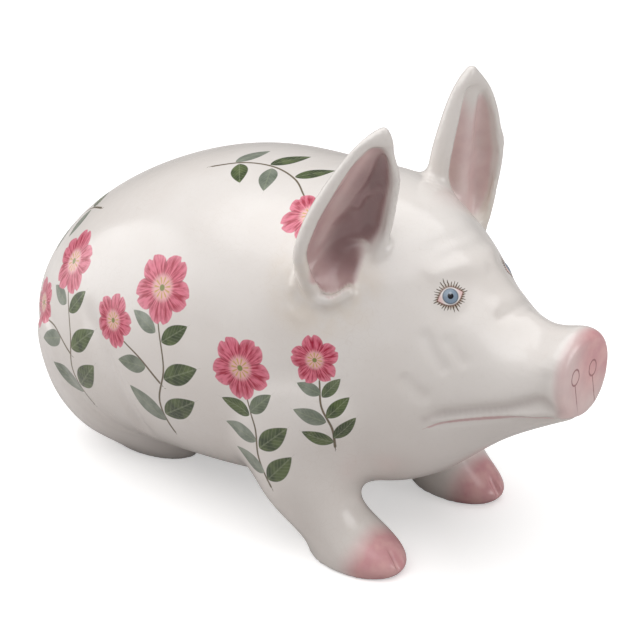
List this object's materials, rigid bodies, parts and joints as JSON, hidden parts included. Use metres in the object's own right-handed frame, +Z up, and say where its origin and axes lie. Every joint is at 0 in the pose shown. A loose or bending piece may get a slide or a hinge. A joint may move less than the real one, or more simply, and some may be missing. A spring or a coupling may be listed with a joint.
{
  "type": "pig figurine",
  "caption": "Seated pig figurine in white glazed earthenware with painted flowers, pink snout and trotters, hollow cast body and head, pricked ears and a curled tail.",
  "frame": {"origin": "on the floor under the middle of the figure's bounding box", "axes": "+X from the rump to the snout, +Y to the pig's left, +Z up"},
  "size_m": [0.4426, 0.2207, 0.298],
  "materials": {
    "body_glaze": "gloss",
    "head_glaze": "gloss",
    "ear_glaze": "gloss",
    "leg_glaze": "gloss",
    "tail_glaze": "gloss"
  },
  "bodies": {
    "root": {"body_shell": "body_glaze", "head_shell": "head_glaze", "right_ear": "ear_glaze", "left_ear": "ear_glaze", "right_foreleg": "leg_glaze", "left_foreleg": "leg_glaze", "right_hind_leg": "leg_glaze", "left_hind_leg": "leg_glaze", "tail": "tail_glaze"}
  },
  "joints": []
}
